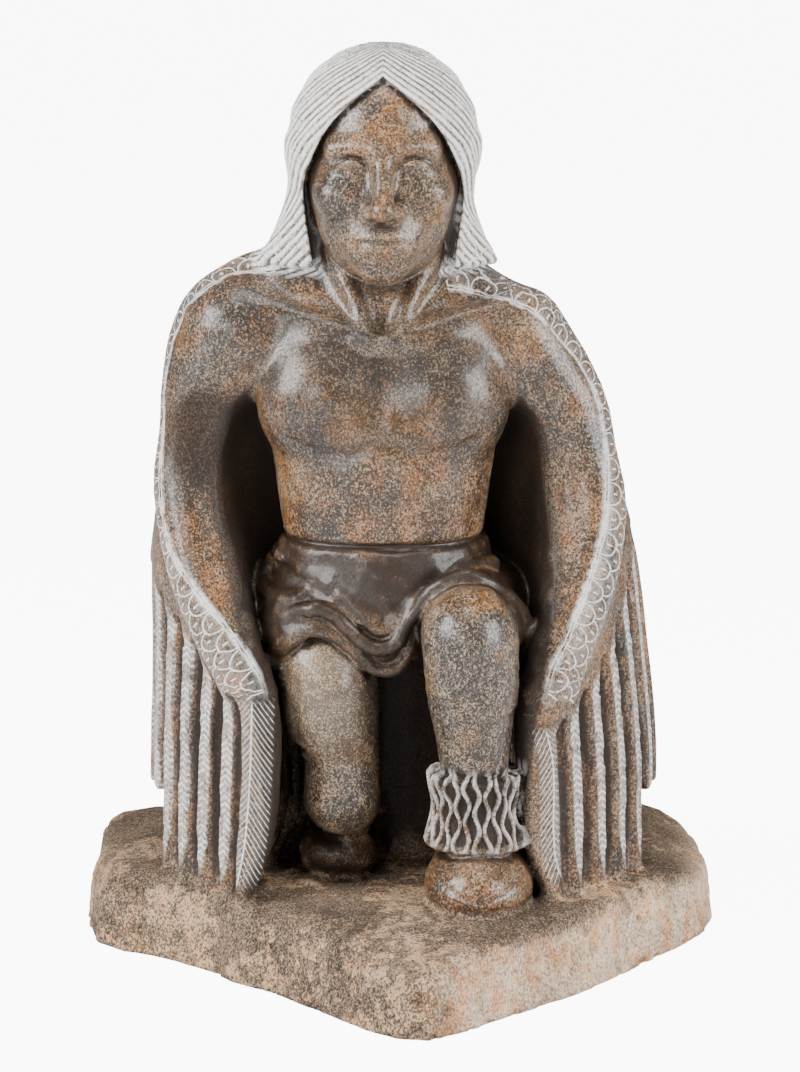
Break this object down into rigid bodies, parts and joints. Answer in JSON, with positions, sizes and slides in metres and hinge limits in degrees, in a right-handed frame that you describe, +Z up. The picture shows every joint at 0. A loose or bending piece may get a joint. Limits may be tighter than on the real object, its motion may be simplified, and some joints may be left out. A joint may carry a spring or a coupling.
{
  "type": "dancer sculpture",
  "caption": "Stone carving of a kneeling dancer whose outstretched arms sweep down as feathered wings, on a rough natural plinth.",
  "frame": {"origin": "on the flat underside of the plinth, under the centre of the carving's bounding box", "axes": "+Z up, the figure looks towards -Y, +X is to the right of someone facing it"},
  "size_m": [0.2436, 0.1998, 0.3405],
  "materials": {
    "stone": "satin"
  },
  "bodies": {
    "root": {"dancer_carving": "stone"}
  },
  "joints": []
}
